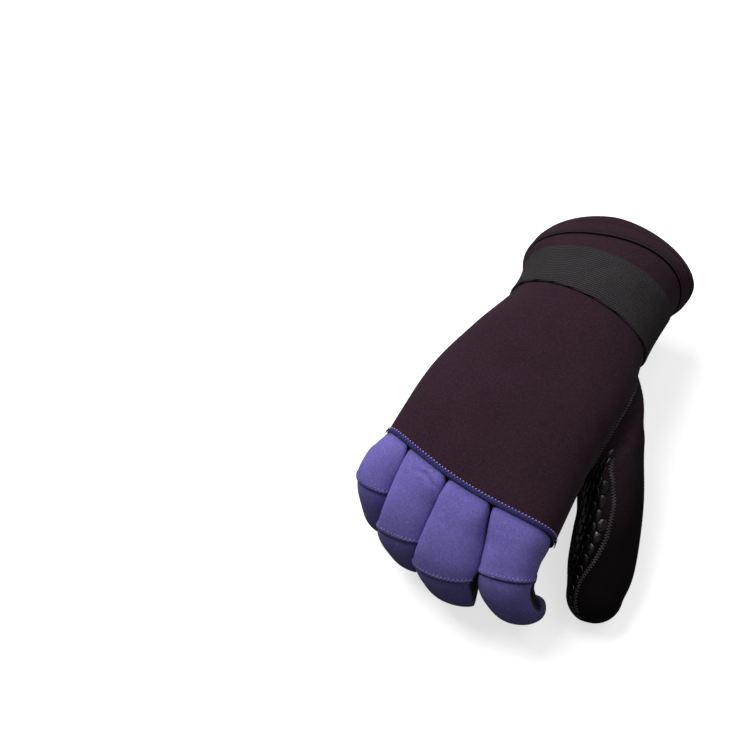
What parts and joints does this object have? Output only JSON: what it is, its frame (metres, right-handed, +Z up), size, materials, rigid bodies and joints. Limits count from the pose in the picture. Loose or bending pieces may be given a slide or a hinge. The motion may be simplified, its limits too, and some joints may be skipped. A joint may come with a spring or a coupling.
{
  "type": "neoprene glove",
  "caption": "Right-hand neoprene water glove lying palm down, with violet finger backs, a set-in thumb, a printed grip palm, a folded cuff hem and a webbing wrist strap.",
  "frame": {"origin": "middle of the footprint on the floor that the glove lies on, z at its lowest point", "axes": "+Z up from the floor to the back of the hand, +Y from the fingers to the cuff, +X to the thumb side"},
  "size_m": [0.1498, 0.2301, 0.0775],
  "materials": {
    "body_neoprene": "matt jersey-faced neoprene, aubergine black",
    "finger_neoprene": "matt jersey-faced neoprene, blue-violet",
    "grip_neoprene": "black jersey-faced neoprene with a glossy raised rubber print",
    "webbing": "matt ribbed elastic webbing, charcoal",
    "hook_tape": "rough hook tape, black"
  },
  "bodies": {
    "root": {"back_panel": "body_neoprene", "palm_panel": "grip_neoprene", "finger_back_little": "finger_neoprene", "finger_back_ring": "finger_neoprene", "finger_back_middle": "finger_neoprene", "finger_back_index": "finger_neoprene", "fingertip_little": "finger_neoprene", "fingertip_ring": "finger_neoprene", "fingertip_middle": "finger_neoprene", "fingertip_index": "finger_neoprene", "thumb": "grip_neoprene", "cuff_hem": "body_neoprene", "wrist_strap": "webbing", "hook_patch": "hook_tape", "strap_tab": "webbing"}
  },
  "joints": []
}
